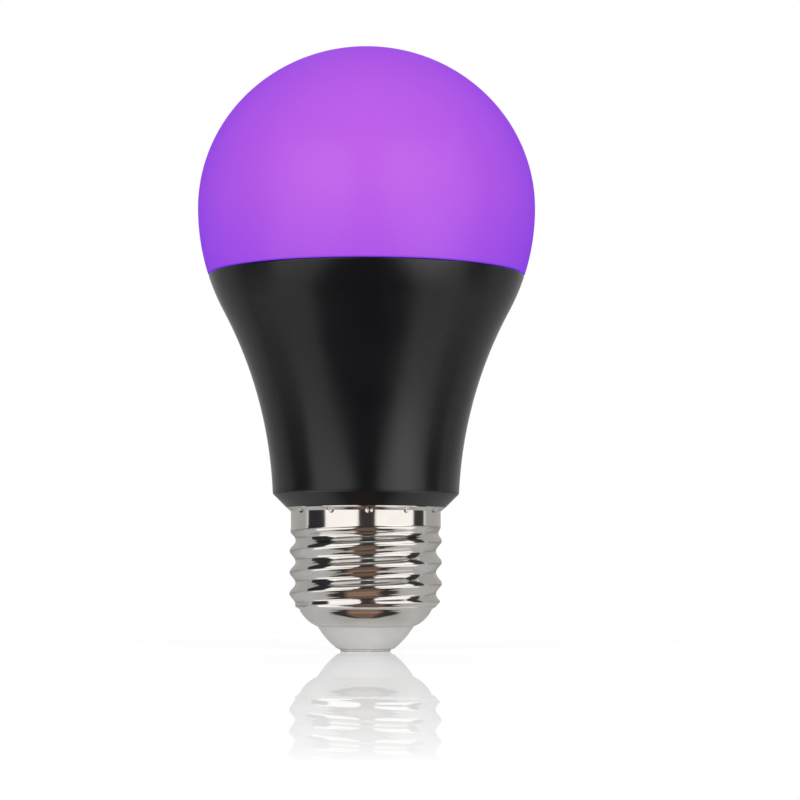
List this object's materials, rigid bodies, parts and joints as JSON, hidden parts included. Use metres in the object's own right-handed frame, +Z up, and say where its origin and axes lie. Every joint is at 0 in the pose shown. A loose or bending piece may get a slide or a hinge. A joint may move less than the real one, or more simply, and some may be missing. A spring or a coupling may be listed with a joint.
{
  "type": "uv black light bulb",
  "caption": "Black light lamp with a frosted purple dome on a flared satin black housing, which screws into a medium lampholder by a plated round-thread cap.",
  "frame": {"origin": "Centre of the bottom face of the centre contact, the lowest point of the lamp.", "axes": "+Z runs up the lamp's axis from the cap to the dome. X and Y are level, with -Y towards the side that the picture shows."},
  "size_m": [0.0582, 0.0582, 0.1041],
  "materials": {
    "frosted_dome": "smooth frosted translucent plastic, tinted purple and lit from within",
    "black_housing": "satin moulded plastic",
    "plated_cap": "bright nickel plate on rolled sheet metal",
    "pale_insulator": "pale grey moulded plastic, slightly glossy",
    "contact_metal": "plated button, lightly worn"
  },
  "bodies": {
    "root": {"diffuser": "frosted_dome", "housing": "black_housing", "screw_shell": "plated_cap", "insulator": "pale_insulator", "centre_contact": "contact_metal"}
  },
  "joints": []
}
